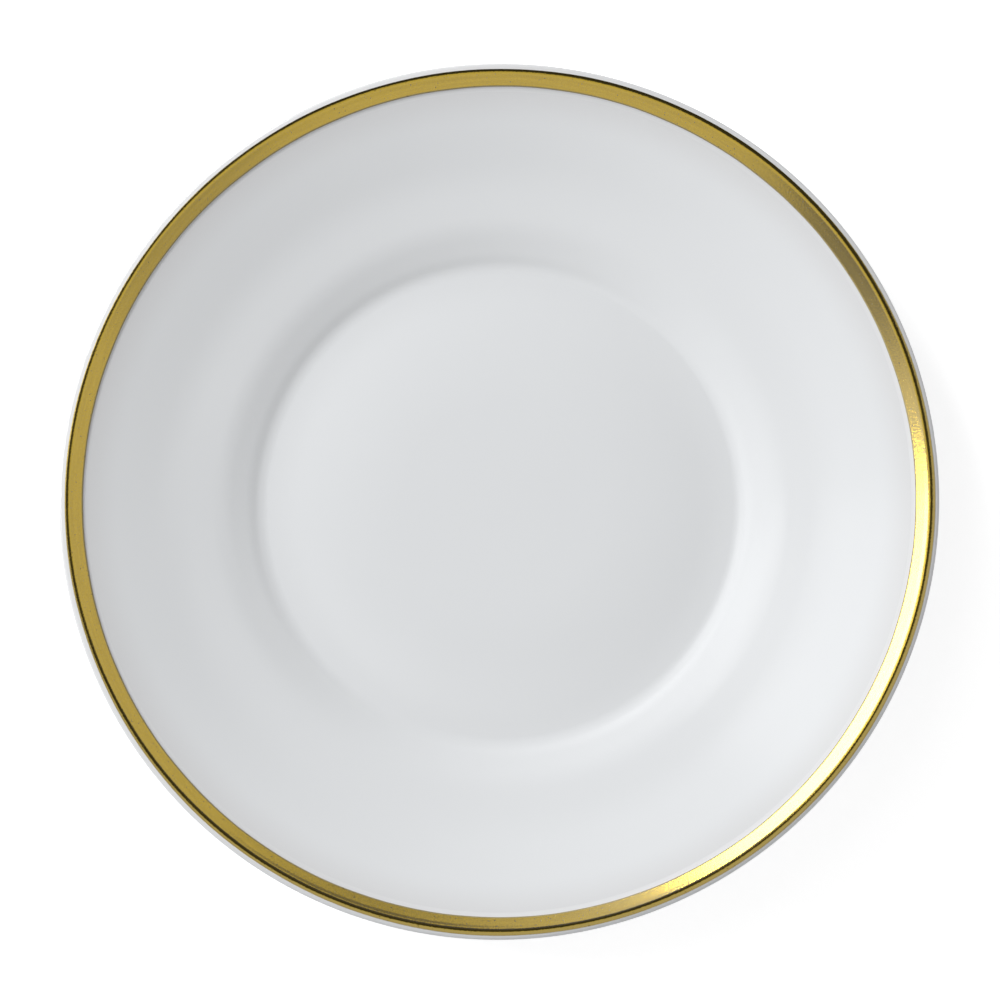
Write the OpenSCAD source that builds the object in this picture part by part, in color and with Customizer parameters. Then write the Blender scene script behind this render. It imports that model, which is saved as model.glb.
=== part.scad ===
// China dinner plate: a fired body turned on one axis, with its coat of glaze and a fired gold band.
// The plate stands on its foot ring at z = 0, with the axis of the plate along Z.

/* [Plate] */
// Diameter across the glazed lip
plate_d = 270; // [250:1:300]
// Thickness of the body at the well
well_t = 4.2; // [3.4:0.1:5]
// Thickness of the body along the outer rim
rim_t = 2.7; // [2.4:0.1:3.4]

/* [Well] */
// Diameter of the lowest ring of the floor
well_d = 143; // [136:1:148]
// Width of the ring in which the raised middle of the floor falls away
crown_w = 31; // [20:1:40]
// Width of the shallow gutter between that ring and the lowest ring
gutter_w = 9.5; // [6:0.5:14]
// Steepest fall of the raised middle, in degrees
crown_slope = 4.5; // [1:0.5:6]
// Radius of the curve where the floor turns up into the wall
valley_r = 11; // [8:1:16]
// Slope of the wall, in degrees
wall_slope = 22.5; // [21:0.5:27]
// Length of the straight part of the wall
wall_w = 1; // [0.5:0.5:2]

/* [Rim] */
// Radius of the shoulder at the top of the wall
shoulder_r = 30; // [20:1:40]
// Slope of the bank between the shoulder and the rim, in degrees
bank_slope = 18.5; // [16:0.5:20]
// Length of the straight part of the bank
bank_w = 4; // [2:0.5:6]
// Radius of the curve where the bank eases into the rim
ease_r = 43; // [34:1:60]
// Slope of the inner rim, in degrees
inner_slope = 9.5; // [8:0.5:12]
// Length of the straight part of the inner rim
inner_w = 6.5; // [3:0.5:9]
// Radius of the curve in which the rim lifts
lift_r = 103; // [80:1:130]
// Slope of the outer rim, which is straight from there to the lip, in degrees
rim_slope = 15.5; // [14:0.5:17]

/* [Lip] */
// Slope of the lip, which turns up from the rim, in degrees
lip_slope = 25.5; // [23:0.5:26.5]
// Radius of the turn from the rim to the lip
lip_turn_r = 8; // [6:1:12]
// Width of that turn and the lip inside its crest, seen from above
lip_w = 4; // [3:0.1:5]
// How much steeper the lip turns up just before its crest, in degrees
kick_turn = 5.5; // [3:0.5:7]
// Radius of that turn
kick_r = 6; // [4:0.5:9]
// Length of the straight part of the kick
kick_w = 0.5; // [0.2:0.1:1]
// Radius of the body over the crest of the lip
crest_r = 1.9; // [1.5:0.1:2.2]
// Slope past the crest at which the roll begins, in degrees
crest_slope = 18; // [12:1:22]
// Radius of the roll outside the crest
roll_r = 3.2; // [2.6:0.1:3.4]
// Slope of the roll where the edge turns under, in degrees
roll_slope = 45; // [38:1:45]

/* [Foot] */
// Diameter of the foot ring at the middle of its bare standing face
foot_d = 147; // [136:1:152]
// Width of the standing face
foot_w = 2.2; // [1.6:0.1:3]
// Height of the foot ring inside, from the table to the base
foot_h = 2.8; // [2.6:0.1:4]
// Lean of the sides of the foot ring from upright, in degrees
foot_lean = 14; // [5:1:20]
// Radius of the corners of the standing face
foot_corner_r = 0.6; // [0.3:0.1:0.8]
// Height of the straight part of the sides of the foot ring
foot_side_h = 1.2; // [1.1:0.1:1.5]
// Width of the curve between the foot ring and the plate
foot_blend_w = 2; // [1.5:0.1:2.5]

/* [Glaze and gold] */
// Thickness of the glaze
glaze_t = 0.25; // [0.2:0.01:0.35]
// Height above the table at which the glaze stops on the foot ring
glaze_stop_h = 0.8; // [0.7:0.1:1]
// Width of the gold band seen from above
gold_w = 5.5; // [3:0.1:7]
// Width of the white edge left outside the gold, seen from above
gold_inset = 1.5; // [0.8:0.1:1.8]
// Thickness of the gold
gold_t = 0.1; // [0.08:0.01:0.15]
// Clearance between each coat and what it covers
bond_gap = 0.08; // [0.06:0.01:0.1]

/* [Hidden] */

// Farthest that a drawn arc may depart from the true one
arc_tolerance = 0.004;
// Spacing of the points along the underside
back_step = 2;
// Points along each curve beside the foot ring
blend_steps = 8;
// Facets round the axis
round_facets = 240;

well_r = well_d / 2;
floor_r = well_r - gutter_w - crown_w;
floor_z = foot_h + well_t;
crown_z = floor_z + (gutter_w + crown_w) * tan(crown_slope / 2);

// Moving along the section
// A station is [radius, height, heading]. The outline runs out along the face, over the lip
// and back along the underside, so the outside of the body is always on its left.

function last(list) = list[len(list) - 1];

function reversed(list) = [for (i = [len(list) - 1:-1:0]) list[i]];

function straight(s, length) = [[s[0] + length * cos(s[2]), s[1] + length * sin(s[2]), s[2]]];

function bend(s, turn, radius) =
    let (
        side = sign(turn),
        finest = 2 * acos(1 - arc_tolerance / radius),
        steps = ceil(abs(turn) / finest)
    )
    [for (i = [1:steps])
        let (h = s[2] + turn * i / steps)
        [
            s[0] + side * radius * (sin(h) - sin(s[2])),
            s[1] - side * radius * (cos(h) - cos(s[2])),
            h
        ]];

// Each move is [turn, radius] for an arc, or [0, length] for a straight stretch
function move(s, m) = m[0] == 0 ? straight(s, m[1]) : bend(s, m[0], m[1]);

function walk(s, moves, i = 0) =
    i == len(moves) ? [] :
    let (run = move(s, moves[i]))
    concat(run, walk(last(run), moves, i + 1));

// A curve that leaves along a-b and arrives along b-c
function blend(a, b, c) =
    [for (i = [0:blend_steps])
        let (
            u = i / blend_steps,
            p = (1 - u) * (1 - u) * a + 2 * u * (1 - u) * b + u * u * c,
            d = (1 - u) * (b - a) + u * (c - b)
        )
        [p[0], p[1], atan2(d[1], d[0])]];

function point(s) = [s[0], s[1]];

function direction(heading) = [cos(heading), sin(heading)];

// Points of an outline moved outwards from the body by a distance
function raised(run, distance) =
    [for (s = run) point(s) + distance * direction(s[2] + 90)];

// The face, from the axis out to the lip

axis_top = [0, crown_z, 0];

inner_face = concat([axis_top], walk(axis_top, [
    [0, floor_r],
    [-crown_slope, crown_w / sin(crown_slope)],
    [crown_slope, gutter_w / sin(crown_slope)],
    [wall_slope, valley_r],
    [0, wall_w],
    [bank_slope - wall_slope, shoulder_r],
    [0, bank_w],
    [inner_slope - bank_slope, ease_r],
    [0, inner_w],
    [rim_slope - inner_slope, lift_r]
]));

// The edge takes the radius that brings the lip back to the thickness of the rim
kick_slope = lip_slope + kick_turn;
crest_end = lip_slope + crest_slope;
roll_end = lip_slope + roll_slope;
kick_rise = kick_r * (1 - cos(kick_turn)) + kick_w * sin(kick_turn);
crest_fall = crest_r * (cos(kick_turn) - cos(crest_end));
roll_fall = roll_r * (cos(crest_end) - cos(roll_end));
edge_r = (rim_t + kick_rise - crest_fall - roll_fall) / (1 + cos(roll_end));

plate_r = plate_d / 2;
kick_reach = kick_r * (sin(kick_slope) - sin(lip_slope)) + kick_w * cos(kick_slope);
crest_reach = crest_r * (sin(kick_slope) + sin(crest_slope));
roll_reach = roll_r * (sin(roll_slope) - sin(crest_slope));
edge_reach = edge_r * (1 - sin(roll_slope));
glaze_top = bond_gap + glaze_t;
gold_bottom = glaze_top + bond_gap;
lip_r = plate_r - glaze_top - edge_reach - roll_reach - crest_reach - kick_reach;

// The outer rim rises straight from the end of the lift to the lip
lift_end = last(inner_face);
lip_turn_reach = lip_turn_r * (sin(lip_slope) - sin(rim_slope));
face = concat(inner_face, walk(lift_end, [
    [0, (lip_r - lip_w - lift_end[0]) / cos(rim_slope)],
    [lip_slope - rim_slope, lip_turn_r],
    [0, (lip_w - lip_turn_reach) / cos(lip_slope)]
]));
lip = walk(last(face), [
    [kick_turn, kick_r],
    [0, kick_w],
    [-kick_slope - crest_slope, crest_r],
    [crest_slope - roll_slope, roll_r]
]);
edge = bend(last(lip), roll_end - 180, edge_r);

// The underside, which follows the face at the thickness of the body

face_heights = [for (s = face) point(s)];
face_slopes = [for (s = face) [s[0], s[2]]];

function on_face(r) = [r, lookup(r, face_heights), lookup(r, face_slopes)];

// The body thins smoothly from the well to the outer rim
taper_w = lift_end[0] - well_r;

function taper_part(r) = min(1, max(0, (r - well_r) / taper_w));

function thickness(r) =
    let (u = taper_part(r))
    well_t + (rim_t - well_t) * u * u * (3 - 2 * u);

function taper_slope(r) =
    let (u = taper_part(r))
    atan((well_t - rim_t) / taper_w * 6 * u * (1 - u));

function under(s) =
    let (t = thickness(s[0]))
    [s[0] + t * sin(s[2]), s[1] - t * cos(s[2]), s[2] + 180 + taper_slope(s[0])];

plain_back = [for (s = face) under(s)];
back_heights = [for (s = plain_back) point(s)];
back_slopes = [for (s = plain_back) [s[0], s[2]]];

function on_back(r) = [r, lookup(r, back_heights), lookup(r, back_slopes)];

// The foot ring, with a curve on each side where it joins the plate

foot_r = foot_d / 2;
foot_shift = tan(foot_lean);
// From the sharp corner of the standing face to where its rounding begins
corner_reach = foot_corner_r * tan(45 - foot_lean / 2);

// Radius of a side of the foot at a height: side is 1 outside and -1 inside
function foot_side(side, z) = foot_r + side * (foot_w / 2 + corner_reach + z * foot_shift);

// Where the curve beside the foot leaves the plate, measured from the foot at that height
function foot_root(side) =
    let (z = on_back(foot_side(side, foot_h))[1])
    on_back(foot_side(side, z) + side * foot_blend_w);

// Where the plate's own surface, carried on straight, meets the side of the foot
function foot_meet(side) =
    let (
        root = foot_root(side),
        fall = tan(root[2]),
        z = (root[1] + fall * (foot_side(side, 0) - root[0])) / (1 - side * fall * foot_shift)
    )
    [foot_side(side, z), z];

function side_station(side, z) = [foot_side(side, z), z, side > 0 ? 270 - foot_lean : 90 + foot_lean];

outer_root = foot_root(1);
inner_root = foot_root(-1);
outer_side = side_station(1, foot_side_h);
inner_side = side_station(-1, foot_side_h);

back = concat(
    [under(last(face))],
    [for (r = [lip_r - back_step:-back_step:outer_root[0]])
        let (s = under(on_face(r)))
        if (s[0] > outer_root[0] + back_step / 2) s]
);

outer_foot = blend(point(outer_root), foot_meet(1), point(outer_side));
inner_foot = blend(point(inner_side), foot_meet(-1), point(inner_root));

base = [for (s = reversed(plain_back)) if (s[0] < inner_root[0]) s];

outer_corner_top = side_station(1, corner_reach * cos(foot_lean));
outer_corner = bend(outer_corner_top, foot_lean - 90, foot_corner_r);
standing_edge = [foot_r - foot_w / 2, 0, 180];
inner_corner = bend(standing_edge, foot_lean - 90, foot_corner_r);

glazed_outside = concat(face, lip, edge, back, outer_foot, [side_station(1, glaze_stop_h)]);
glazed_base = concat([side_station(-1, glaze_stop_h)], inner_foot, base);
bare_foot = concat([outer_corner_top], outer_corner, [standing_edge], inner_corner);

// Making the pieces

module turned(points) {
    rotate_extrude($fn = round_facets)
        polygon(points);
}

module glaze(run) {
    turned(concat(raised(run, bond_gap), reversed(raised(run, glaze_top))));
}

// Points of an outline between two radii, cut upright at both ends
function between(points, r_in, r_out) = concat(
    [[r_in, lookup(r_in, points)]],
    [for (p = points) if (p[0] > r_in && p[0] < r_out) p],
    [[r_out, lookup(r_out, points)]]
);

module china_body() {
    color("ivory")
        turned(raised(concat(glazed_outside, bare_foot, glazed_base), 0));
}

module glaze_coat() {
    color("white")
        glaze(glazed_outside);
}

module base_glaze() {
    color("whitesmoke")
        glaze(glazed_base);
}

module gold_band() {
    top = concat(face, lip);
    gold_out_r = plate_r - gold_inset;
    gold_in_r = gold_out_r - gold_w;
    color("goldenrod")
        turned(concat(
            between(raised(top, gold_bottom), gold_in_r, gold_out_r),
            reversed(between(raised(top, gold_bottom + gold_t), gold_in_r, gold_out_r))
        ));
}

china_body();
glaze_coat();
base_glaze();
gold_band();
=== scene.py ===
# China dinner plate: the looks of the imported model, in metres.
import math

import bmesh
import bpy
from mathutils import Matrix, Vector


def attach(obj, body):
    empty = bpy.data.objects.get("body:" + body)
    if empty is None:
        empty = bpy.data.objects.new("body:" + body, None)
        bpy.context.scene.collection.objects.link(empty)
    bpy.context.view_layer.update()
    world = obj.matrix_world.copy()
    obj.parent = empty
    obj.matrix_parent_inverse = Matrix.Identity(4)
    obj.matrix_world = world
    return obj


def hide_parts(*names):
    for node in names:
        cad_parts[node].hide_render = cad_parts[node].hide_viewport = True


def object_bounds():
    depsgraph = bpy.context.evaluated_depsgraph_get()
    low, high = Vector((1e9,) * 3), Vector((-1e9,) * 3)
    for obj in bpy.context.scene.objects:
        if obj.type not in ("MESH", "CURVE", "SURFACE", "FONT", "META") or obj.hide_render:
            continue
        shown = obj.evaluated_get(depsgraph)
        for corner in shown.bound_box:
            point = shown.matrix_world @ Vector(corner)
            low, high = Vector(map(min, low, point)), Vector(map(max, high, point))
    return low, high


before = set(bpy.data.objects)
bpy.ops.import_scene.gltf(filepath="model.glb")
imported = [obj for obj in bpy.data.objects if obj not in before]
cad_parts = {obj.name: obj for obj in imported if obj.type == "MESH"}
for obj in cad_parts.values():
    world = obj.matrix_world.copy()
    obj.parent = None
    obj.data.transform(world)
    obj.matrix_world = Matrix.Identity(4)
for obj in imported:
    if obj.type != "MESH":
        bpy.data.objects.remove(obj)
cad_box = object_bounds()
scene = bpy.context.scene

MM = 0.001

# How finely the pieces are turned
ROUND_SEGMENTS = 360
GOLD_SEGMENTS = 1440
SEAM_WIDTH = 1e-7
SEAM_DECIMALS = 6
SHARP_ANGLE = math.radians(32)
# The name under which each vertex keeps its distance from the axis in the even section
SECTION_RADIUS = "section_radius"

# The photograph's view, in degrees: its tilt from straight down and the side it leans to
VIEW_TILT = 6.1
VIEW_SIDE = 18
VIEW_DISTANCE = 5.0
# The point aimed at, right and up from the middle of the lip
VIEW_AIM = (0.43 * MM, 0.04 * MM)
FRAME_WIDTH = 306.45 * MM
SENSOR_WIDTH = 36

# Places on the plate, by their distance from the axis
# Painted shade on the glaze: where it starts, and where it is full towards the gold
PAINTED_SHADE_START = 116 * MM
PAINTED_SHADE_END = 129 * MM
DULL_START = 126 * MM
DULL_END = 127.2 * MM
GOLD_INNER = 128 * MM
GOLD_KICK = 130.7 * MM
GOLD_CREST = 131.6 * MM
GOLD_BARE = 132.4 * MM
GOLD_OUTER = 133.5 * MM

# The brush's unevenness at the two edges of the gold: size, waves round the plate, where a wave peaks
INNER_DRIFT = (
    (-0.15 * MM, 0, 0),
    (0.15 * MM, 2, math.pi),
    (0.05 * MM, 5, 0.7),
    (0.03 * MM, 11, 2.1),
    (0.025 * MM, 23, 4.0),
    (0.015 * MM, 47, 1.3),
)
INNER_REACH = 1.5 * MM
OUTER_DRIFT = (
    (0.4 * MM, 1, -0.7),
    (0.04 * MM, 7, 1.9),
    (0.03 * MM, 19, 0.4),
)
OUTER_REACH = 0.9 * MM

# The lip outside the gold: where its even slope starts, that slope, and the rounding of the edge
LIP_START = 133.1 * MM
LIP_SLOPE = math.radians(13)
LIP_ROUND = 0.8 * MM

# Noise patterns: how many to the metre, and their levels of detail
GLAZE_TONE = (18.0, 3.0)
GLAZE_RIPPLE = (90.0, 1.0)
BISCUIT_GRAIN = (900.0, 4.0)
GOLD_STREAKS = (1 / (0.7 * MM), 3.0)
GOLD_GRAIN = (1 / (0.5 * MM), 2.0)
GOLD_PITS = (1 / (0.8 * MM), 1.0)

# The glaze, its colour darkened with painted shade towards the gold, and how much rougher its dull strip
# beside the gold is
GLAZE_DARK = (0.807, 0.823, 0.840, 1)
GLAZE_LIGHT = (0.832, 0.849, 0.865, 1)
GLAZE_PAINTED_SHADE = (0.752, 0.757, 0.767, 1)
GLAZE_IOR = 1.5
GLAZE_ROUGHNESS = 0.09
DULL_ROUGHNESS = 0.5
RIPPLE_STRENGTH = 0.02
RIPPLE_HEIGHT = 0.3 * MM

# The bare china of the standing face
BISCUIT_DARK = (0.70, 0.66, 0.58, 1)
BISCUIT_LIGHT = (0.82, 0.79, 0.72, 1)
BISCUIT_ROUGHNESS = 0.7
BISCUIT_STRENGTH = 0.3
BISCUIT_HEIGHT = 0.1 * MM

# The gold, its paler outer side, the matt contour at its inner edge, and its pits
GOLD_DARK = (0.578, 0.393, 0.017, 1)
GOLD_LIGHT = (1.0, 0.68, 0.034, 1)
GOLD_PALE = (0.62, 0.48, 0.17, 1)
GOLD_ROUGHNESS = 0.13
CREST_ROUGHNESS = 0.1
CONTOUR_COLOR = (0.42, 0.35, 0.18, 1)
CONTOUR_WIDTH = 0.3 * MM
CONTOUR_SOFTNESS = 0.1 * MM
CONTOUR_ROUGHNESS = 0.55
PIT_COLOR = (0.10, 0.06, 0.01, 1)
PIT_SHARE = 0.5
PIT_START = 0.69
PIT_FULL = 0.75

# The brush marks: what a step along the band counts against one across it, which draws the streaks out,
# and the height of the grain against the streaks
STREAK_STRETCH = 0.05
GRAIN_HEIGHT = 3.0
BRUSH_STRENGTH = 0.5
BRUSH_HEIGHT = 0.02 * MM

# The clear gloss on the gold
GLOSS_IOR = 2.0
GLOSS_ROUGHNESS = 0.35

# The key light, with its angles in degrees
KEY_AZIMUTHS = (132, 160.8)
KEY_ZENITH = 57.5
KEY_DISTANCE = 4.0
KEY_SIZE = (1.74, 1.09)
KEY_RADIANCE = 11.15

# The sky's level overhead and at the sides, by its angle from straight up, and its pale horizon by height
TOP_LEVEL = 0.718
SIDE_LEVEL = 0.668
TOP_ZENITH = 38
SIDE_ZENITH = 52
HORIZON_LOW = 0.02
HORIZON_HIGH = 0.14

# Dimmer patches of the sky, in degrees: azimuth, zenith, radius at full strength, radius where it ends.
# The last number is the share of light left.
DIM_PATCHES = (
    (85, 25, 23, 29, 0.08),
    (75, 76, 15, 23, 0.25),
    (208, 53, 4, 16, 0.33),
    (290, 86, 22, 26, 0.05),
    (322, 50, 10, 18, 0.75),
)
# A soft glow between the key light and the zenith: its place as above, and its level
GLOW_PLACE = (150, 32, 6, 15)
GLOW_LEVEL = 1.75

# The floor, and the glow that makes it show as white
FLOOR_SIZE = 12
FLOOR_COLOR = (0.8, 0.8, 0.8, 1)
FLOOR_GLOW = 0.66


def cosine(degrees):
    return math.cos(math.radians(degrees))


def direction(azimuth, zenith):
    """The unit vector at an azimuth from +X and an angle from straight up, in degrees."""
    around = math.radians(azimuth)
    flat = math.sin(math.radians(zenith))
    return Vector((flat * math.cos(around), flat * math.sin(around), cosine(zenith)))


# Sections

def seam_outline(node):
    """The section of a turned CAD node as (radius, height) points in order, and whether it is closed."""
    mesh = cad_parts[node].data
    seam = {}
    for vertex in mesh.vertices:
        x, y, z = vertex.co
        if abs(y) < SEAM_WIDTH and x >= 0:
            seam[vertex.index] = (round(x, SEAM_DECIMALS), round(z, SEAM_DECIMALS))
    neighbours = {}
    for edge in mesh.edges:
        a, b = (seam.get(i) for i in edge.vertices)
        if a and b and a != b:
            neighbours.setdefault(a, set()).add(b)
            neighbours.setdefault(b, set()).add(a)
    ends = [point for point, near in neighbours.items() if len(near) == 1]
    start = min(ends or neighbours)
    chain = [start]
    ahead = sorted(neighbours[start])[:1]
    while ahead and ahead[0] != start:
        chain.append(ahead[0])
        ahead = [point for point in neighbours[chain[-1]] if point != chain[-2]]
    return chain, not ends


def height_on(line, radius):
    """The height of a line of (radius, height) points at a radius, carried on straight past its ends."""
    after = 1
    while after < len(line) - 1 and line[after][0] < radius:
        after += 1
    (r0, z0), (r1, z1) = line[after - 1], line[after]
    return z0 + (z1 - z0) * (radius - r0) / (r1 - r0)


def drift(waves, angle):
    """How far the brush strays at an angle round the plate."""
    return sum(size * math.cos(count * angle - peak) for size, count, peak in waves)


def hand_banded(outline):
    """Lets the two edges of the gold run a little unevenly, along the band's own section."""
    outer_top = outline.index(max(outline))
    upper = outline[1:outer_top + 1]
    lower = [outline[0]] + outline[:outer_top:-1]
    inner, outer = upper[0][0], upper[-1][0]

    def shape(index, angle):
        even = outline[index][0]
        line = upper if 0 < index <= outer_top else lower
        radius = even
        radius += drift(INNER_DRIFT, angle) * max(0, 1 - (even - inner) / INNER_REACH)
        radius += drift(OUTER_DRIFT, angle) * max(0, 1 - (outer - even) / OUTER_REACH)
        return radius, height_on(line, radius)

    return shape


def gentle_lip(outline):
    """Lets the glaze slope off evenly outside the gold, and turn down close to its edge."""
    edge = outline.index(max(outline))
    edge_radius = outline[edge][0]
    inwards = 1 if outline[edge + 1][1] > outline[edge][1] else -1
    start = edge
    while outline[start][0] > LIP_START:
        start += inwards
    start_radius, start_height = outline[start]
    eased = list(outline)
    for index in range(edge, start, inwards):
        radius, height = outline[index]
        round_part = max(0, radius - edge_radius + LIP_ROUND)
        fall = (radius - start_radius) * math.tan(LIP_SLOPE)
        fall += LIP_ROUND - math.sqrt(LIP_ROUND ** 2 - round_part ** 2)
        eased[index] = (radius, max(height, start_height - fall))
    return eased


# Turning the pieces

def add_rings(bm, outline, segments, shape):
    """A ring of vertices for each point of an outline."""
    section_radius = bm.verts.layers.float.new(SECTION_RADIUS)
    rings = []
    for index, point in enumerate(outline):
        ring = []
        for step in range(segments):
            angle = 2 * math.pi * step / segments
            radius, height = shape(index, angle) if shape else point
            vertex = bm.verts.new((radius * math.cos(angle), radius * math.sin(angle), height))
            vertex[section_radius] = point[0]
            ring.append(vertex)
        rings.append(ring)
    return rings


def join_rings(bm, rings, closed):
    """Faces from ring to ring, and back to the first where the outline is closed."""
    pairs = list(zip(rings, rings[1:]))
    if closed:
        pairs.append((rings[-1], rings[0]))
    for ring, other in pairs:
        for i in range(len(ring)):
            j = (i + 1) % len(ring)
            bm.faces.new((ring[i], ring[j], other[j], other[i]))


def close_ring(bm, ring, height):
    """A flat disc inside a ring."""
    middle = bm.verts.new((0, 0, height))
    for i in range(len(ring)):
        bm.faces.new((ring[i], ring[(i + 1) % len(ring)], middle))


def turned(name, outline, closed, segments, shape=None):
    """A solid of revolution, unless a shape varies its section. Discs close an open outline."""
    bm = bmesh.new()
    rings = add_rings(bm, outline, segments, shape)
    join_rings(bm, rings, closed)
    if not closed:
        close_ring(bm, rings[0], outline[0][1])
        close_ring(bm, rings[-1], outline[-1][1])
    bmesh.ops.recalc_face_normals(bm, faces=bm.faces)
    mesh = bpy.data.meshes.new(name)
    bm.to_mesh(mesh)
    bm.free()
    mesh.shade_smooth()
    mesh.set_sharp_from_angle(angle=SHARP_ANGLE)
    piece = bpy.data.objects.new(name, mesh)
    scene.collection.objects.link(piece)
    weighted = piece.modifiers.new("even shading", "WEIGHTED_NORMAL")
    weighted.keep_sharp = True
    return piece


def place(piece, node, material):
    """Puts a piece in the stead of a CAD node."""
    piece.data.materials.append(material)
    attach(piece, "root")
    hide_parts(node)


# Materials

class Tree:
    """A short way to add nodes to a material or world and link them."""

    def __init__(self, owner):
        owner.use_nodes = True
        self.tree = owner.node_tree
        self.tree.nodes.clear()

    def give(self, node, inputs):
        """Sets each input to its value, or links it where the value is another node's output."""
        for key, value in inputs.items():
            if isinstance(value, bpy.types.NodeSocket):
                self.tree.links.new(value, node.inputs[key])
            else:
                node.inputs[key].default_value = value

    def add(self, kind, inputs=None, **settings):
        node = self.tree.nodes.new(kind)
        for key, value in settings.items():
            setattr(node, key, value)
        self.give(node, inputs or {})
        return node

    def math(self, operation, *values):
        node = self.add("ShaderNodeMath", dict(enumerate(values)), operation=operation)
        return node.outputs[0]

    def span(self, value, low, high, to_low, to_high):
        """Eases from to_low to to_high as the value goes from low to high."""
        node = self.add(
            "ShaderNodeMapRange",
            {"Value": value, "From Min": low, "From Max": high, "To Min": to_low, "To Max": to_high},
            interpolation_type="SMOOTHSTEP",
        )
        return node.outputs["Result"]

    def noise(self, vector, scale, detail):
        node = self.add("ShaderNodeTexNoise", {"Vector": vector, "Scale": scale, "Detail": detail})
        return node.outputs["Fac"]

    def blend(self, factor, a, b):
        """Mixes two colours."""
        node = self.add("ShaderNodeMix", {0: factor, 6: a, 7: b}, data_type="RGBA")
        return node.outputs[2]

    def bump(self, height, strength, distance):
        node = self.add("ShaderNodeBump", {"Height": height, "Strength": strength, "Distance": distance})
        return node.outputs["Normal"]

    def place_on(self):
        """The place on the plate."""
        return self.add("ShaderNodeTexCoord").outputs["Object"]

    def section_radius(self):
        """The distance from the axis in the even section."""
        return self.add("ShaderNodeAttribute", attribute_name=SECTION_RADIUS).outputs["Fac"]


def new_material(name):
    material = bpy.data.materials.new(name)
    tree = Tree(material)
    shader = tree.add("ShaderNodeBsdfPrincipled")
    tree.add("ShaderNodeOutputMaterial", {"Surface": shader.outputs[0]})
    return material, tree, shader


def glaze_material():
    """White glaze: a slow ripple, a breath of tone, a painted shade that darkens it towards the gold, and
    a dull strip towards the gold.
    """
    material, tree, shader = new_material("white_glaze")
    place_on = tree.place_on()
    radius = tree.section_radius()
    color = tree.blend(tree.noise(place_on, *GLAZE_TONE), GLAZE_DARK, GLAZE_LIGHT)
    # Painted shade: the glaze turns darker towards the gold and stays so out over the lip
    color = tree.blend(tree.span(radius, PAINTED_SHADE_START, PAINTED_SHADE_END, 0, 1), color, GLAZE_PAINTED_SHADE)
    dull = tree.span(radius, DULL_START, DULL_END, 0, DULL_ROUGHNESS)
    shiny_lip = tree.span(radius, GOLD_CREST, GOLD_BARE, GLAZE_ROUGHNESS, GLAZE_ROUGHNESS - DULL_ROUGHNESS)
    ripple = tree.noise(place_on, *GLAZE_RIPPLE)
    tree.give(shader, {
        "Base Color": color,
        "Roughness": tree.math("ADD", shiny_lip, dull),
        "IOR": GLAZE_IOR,
        "Normal": tree.bump(ripple, RIPPLE_STRENGTH, RIPPLE_HEIGHT),
    })
    return material


def biscuit_material():
    """Bare fired china, ground on the standing face."""
    material, tree, shader = new_material("bare_china")
    grain = tree.noise(tree.place_on(), *BISCUIT_GRAIN)
    tree.give(shader, {
        "Base Color": tree.blend(grain, BISCUIT_DARK, BISCUIT_LIGHT),
        "Roughness": BISCUIT_ROUGHNESS,
        "Normal": tree.bump(grain, BISCUIT_STRENGTH, BISCUIT_HEIGHT),
    })
    return material


def brush_streaks(tree, place_on, radius):
    """Streaks along the band, which the brush leaves as the plate turns."""
    flat = tree.add("ShaderNodeSeparateXYZ", {0: place_on}).outputs
    short_x = tree.math("MULTIPLY", flat["X"], STREAK_STRETCH)
    short_y = tree.math("MULTIPLY", flat["Y"], STREAK_STRETCH)
    along = tree.add("ShaderNodeCombineXYZ", {0: short_x, 1: short_y, 2: radius}).outputs[0]
    return tree.noise(along, *GOLD_STREAKS)


def gold_material():
    """Burnished gold: brushed and pitted under a soft gloss, with a matt contour at its inner edge."""
    material, tree, shader = new_material("burnished_gold")
    place_on = tree.place_on()
    radius = tree.section_radius()
    streaks = brush_streaks(tree, place_on, radius)
    grain = tree.noise(place_on, *GOLD_GRAIN)
    pits = tree.span(tree.noise(place_on, *GOLD_PITS), PIT_START, PIT_FULL, 0, 1)
    contour_end = GOLD_INNER + CONTOUR_WIDTH
    contour = tree.span(radius, contour_end, contour_end + CONTOUR_SOFTNESS, 1, 0)

    tone = tree.math("MULTIPLY", tree.math("ADD", streaks, grain), 0.5)
    color = tree.blend(tone, GOLD_DARK, GOLD_LIGHT)
    color = tree.blend(tree.span(radius, GOLD_CREST, GOLD_OUTER, 0, 1), color, GOLD_PALE)
    color = tree.blend(contour, color, CONTOUR_COLOR)
    color = tree.blend(tree.math("MULTIPLY", pits, PIT_SHARE), color, PIT_COLOR)

    roughness = tree.span(radius, GOLD_KICK, GOLD_CREST, GOLD_ROUGHNESS, CREST_ROUGHNESS)
    roughness = tree.math("MULTIPLY_ADD", contour, CONTOUR_ROUGHNESS, roughness)
    height = tree.math("MULTIPLY_ADD", grain, GRAIN_HEIGHT, streaks)
    height = tree.math("SUBTRACT", height, pits)
    gloss = tree.math("SUBTRACT", tree.span(radius, GOLD_CREST, GOLD_BARE, 1, 0), contour)
    tree.give(shader, {
        "Base Color": color,
        "Metallic": 1,
        "Roughness": roughness,
        "Normal": tree.bump(height, BRUSH_STRENGTH, BRUSH_HEIGHT),
        "Coat Weight": gloss,
        "Coat IOR": GLOSS_IOR,
        "Coat Roughness": GLOSS_ROUGHNESS,
    })
    return material


# The pieces

def add_china_body():
    outline, closed = seam_outline("china_body")
    piece = turned("turned_china_body", outline, closed, ROUND_SEGMENTS)
    place(piece, "china_body", biscuit_material())


def add_glaze_coat(glaze):
    outline, closed = seam_outline("glaze_coat")
    piece = turned("turned_glaze_coat", gentle_lip(outline), closed, ROUND_SEGMENTS)
    place(piece, "glaze_coat", glaze)


def add_base_glaze(glaze):
    outline, closed = seam_outline("base_glaze")
    piece = turned("turned_base_glaze", outline, closed, ROUND_SEGMENTS)
    place(piece, "base_glaze", glaze)


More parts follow.
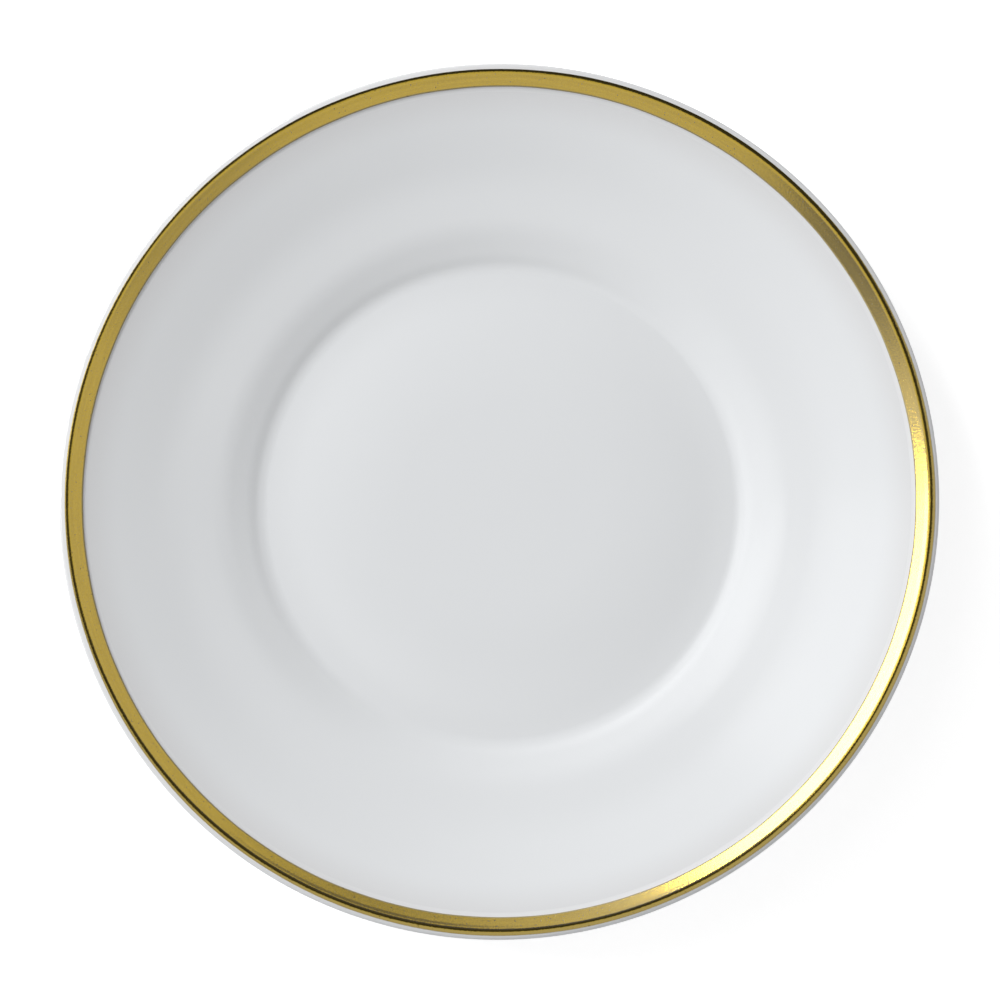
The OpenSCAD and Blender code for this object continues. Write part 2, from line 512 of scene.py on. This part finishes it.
def add_gold_band():
    outline, closed = seam_outline("gold_band")
    piece = turned("turned_gold_band", outline, closed, GOLD_SEGMENTS, hand_banded(outline))
    place(piece, "gold_band", gold_material())


# The studio

def add_camera():
    back = direction(VIEW_SIDE - 90, VIEW_TILT)
    right = Vector((0, 1, 0)).cross(back).normalized()
    up = back.cross(right)
    lip_centre = Vector((0, 0, cad_box[1].z))
    aim = lip_centre + VIEW_AIM[0] * right + VIEW_AIM[1] * up
    data = bpy.data.cameras.new("camera")
    data.sensor_width = SENSOR_WIDTH
    data.lens = SENSOR_WIDTH * VIEW_DISTANCE / FRAME_WIDTH
    camera = bpy.data.objects.new("camera", data)
    turn = Matrix((right, up, back)).transposed().to_4x4()
    camera.matrix_world = Matrix.Translation(aim + back * VIEW_DISTANCE) @ turn
    scene.collection.objects.link(camera)
    scene.camera = camera


def add_key_light():
    """A wide soft light far off, bent round the plate in flat panels, so that it falls evenly."""
    for azimuth in KEY_AZIMUTHS:
        towards = direction(azimuth, KEY_ZENITH)
        data = bpy.data.lights.new("soft_key", "AREA")
        data.shape = "RECTANGLE"
        data.size, data.size_y = KEY_SIZE
        data.energy = KEY_RADIANCE * math.pi * data.size * data.size_y
        lamp = bpy.data.objects.new("soft_key", data)
        lamp.location = towards * KEY_DISTANCE
        lamp.rotation_mode = "QUATERNION"
        lamp.rotation_quaternion = towards.to_track_quat("Z", "Y")
        lamp.visible_camera = False
        scene.collection.objects.link(lamp)


def floor_material():
    """White, with a glow that only the camera, gloss and glass see."""
    material = bpy.data.materials.new("floor")
    tree = Tree(material)
    rays = tree.add("ShaderNodeLightPath").outputs
    seen = tree.math("MAXIMUM", rays["Is Camera Ray"], rays["Is Glossy Ray"])
    seen = tree.math("MAXIMUM", seen, rays["Is Transmission Ray"])
    matt = tree.add("ShaderNodeBsdfDiffuse", {"Color": FLOOR_COLOR})
    glow = tree.add("ShaderNodeEmission", {"Strength": tree.math("MULTIPLY", seen, FLOOR_GLOW)})
    both = tree.add("ShaderNodeAddShader", {0: matt.outputs[0], 1: glow.outputs[0]})
    tree.add("ShaderNodeOutputMaterial", {"Surface": both.outputs[0]})
    return material


def add_floor():
    """A plain white floor, which keeps the plate's shadow."""
    half = FLOOR_SIZE / 2
    corners = [(-half, -half, 0), (half, -half, 0), (half, half, 0), (-half, half, 0)]
    mesh = bpy.data.meshes.new("floor")
    mesh.from_pydata(corners, [], [(0, 1, 2, 3)])
    mesh.materials.append(floor_material())
    floor = bpy.data.objects.new("floor", mesh)
    scene.collection.objects.link(floor)


def add_world():
    """Soft light from all round: pale at the horizon, dimmed in patches, and with one soft glow."""
    world = bpy.data.worlds.new("studio")
    scene.world = world
    tree = Tree(world)
    towards = tree.add("ShaderNodeTexCoord").outputs["Generated"]
    height = tree.add("ShaderNodeSeparateXYZ", {0: towards}).outputs["Z"]

    def patch(azimuth, zenith, full, faded, outside, inside):
        """Goes from one value to another inside a round patch of the sky."""
        along = tree.add(
            "ShaderNodeVectorMath",
            {0: towards, 1: direction(azimuth, zenith)},
            operation="DOT_PRODUCT",
        ).outputs["Value"]
        return tree.span(along, cosine(faded), cosine(full), outside, inside)

    level = tree.span(height, cosine(SIDE_ZENITH), cosine(TOP_ZENITH), SIDE_LEVEL, TOP_LEVEL)
    for *place_in_sky, left in DIM_PATCHES:
        level = tree.math("MULTIPLY", level, patch(*place_in_sky, 1, left))
    level = tree.math("MAXIMUM", level, patch(*GLOW_PLACE, 0, GLOW_LEVEL))
    level = tree.math("MAXIMUM", level, tree.span(height, HORIZON_LOW, HORIZON_HIGH, 1, 0))
    background = tree.add("ShaderNodeBackground", {"Strength": level})
    tree.add("ShaderNodeOutputWorld", {"Surface": background.outputs[0]})


glaze = glaze_material()
add_china_body()
add_glaze_coat(glaze)
add_base_glaze(glaze)
add_gold_band()

add_camera()
add_key_light()
add_floor()
add_world()
scene.view_settings.view_transform = "Standard"
